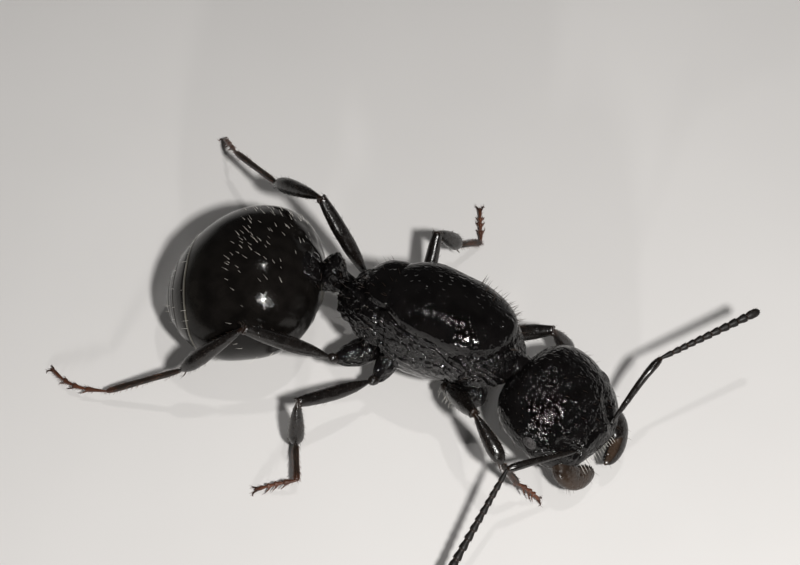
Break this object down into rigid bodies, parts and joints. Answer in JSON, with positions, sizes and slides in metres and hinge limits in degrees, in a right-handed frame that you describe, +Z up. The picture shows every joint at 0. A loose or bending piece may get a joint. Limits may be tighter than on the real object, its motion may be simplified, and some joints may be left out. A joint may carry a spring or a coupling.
{
  "type": "ant",
  "caption": "Life-size still model of a wingless harvester ant queen standing on six feet, glossy black with red-brown feet and jaws.",
  "frame": {"origin": "on the floor, under the middle of the whole outline with its legs and feelers", "axes": "+X the way the trunk points, towards the head; +Y the ant's left; +Z up from the floor"},
  "size_m": [0.018, 0.012, 0.0041],
  "materials": {
    "shell": "glossy black insect shell, finely lined and pitted on the head, wrinkled behind",
    "gaster": "smooth satin-glossy black, with thin paler edges on the rings",
    "limb": "brown-black, glossy, with red-brown joints",
    "toe": "red-brown, satin",
    "jaw": "dark red-brown, glossy, black at the teeth",
    "eye": "dark grey, faceted"
  },
  "bodies": {
    "root": {"antenna_left_funiculus": "limb", "antenna_left_scape": "limb", "antenna_right_funiculus": "limb", "antenna_right_scape": "limb", "eye_left": "eye", "eye_right": "eye", "gaster_ring_1": "gaster", "gaster_ring_2": "gaster", "gaster_ring_3": "gaster", "gaster_ring_4": "gaster", "head": "shell", "leg_fore_left_basitarsus": "toe", "leg_fore_left_coxa": "limb", "leg_fore_left_femur": "limb", "leg_fore_left_tarsus": "toe", "leg_fore_left_tibia": "limb", "leg_fore_right_basitarsus": "toe", "leg_fore_right_coxa": "limb", "leg_fore_right_femur": "limb", "leg_fore_right_tarsus": "toe", "leg_fore_right_tibia": "limb", "leg_hind_left_basitarsus": "toe", "leg_hind_left_coxa": "limb", "leg_hind_left_femur": "limb", "leg_hind_left_tarsus": "toe", "leg_hind_left_tibia": "limb", "leg_hind_right_basitarsus": "toe", "leg_hind_right_coxa": "limb", "leg_hind_right_femur": "limb", "leg_hind_right_tarsus": "toe", "leg_hind_right_tibia": "limb", "leg_mid_left_basitarsus": "toe", "leg_mid_left_coxa": "limb", "leg_mid_left_femur": "limb", "leg_mid_left_tarsus": "toe", "leg_mid_left_tibia": "limb", "leg_mid_right_basitarsus": "toe", "leg_mid_right_coxa": "limb", "leg_mid_right_femur": "limb", "leg_mid_right_tarsus": "toe", "leg_mid_right_tibia": "limb", "mandible_left": "jaw", "mandible_right": "jaw", "mesopleuron": "shell", "mesoscutum": "shell", "petiole": "shell", "postpetiole": "shell", "pronotum": "shell", "propodeum": "shell", "scutellum": "shell"}
  },
  "joints": []
}
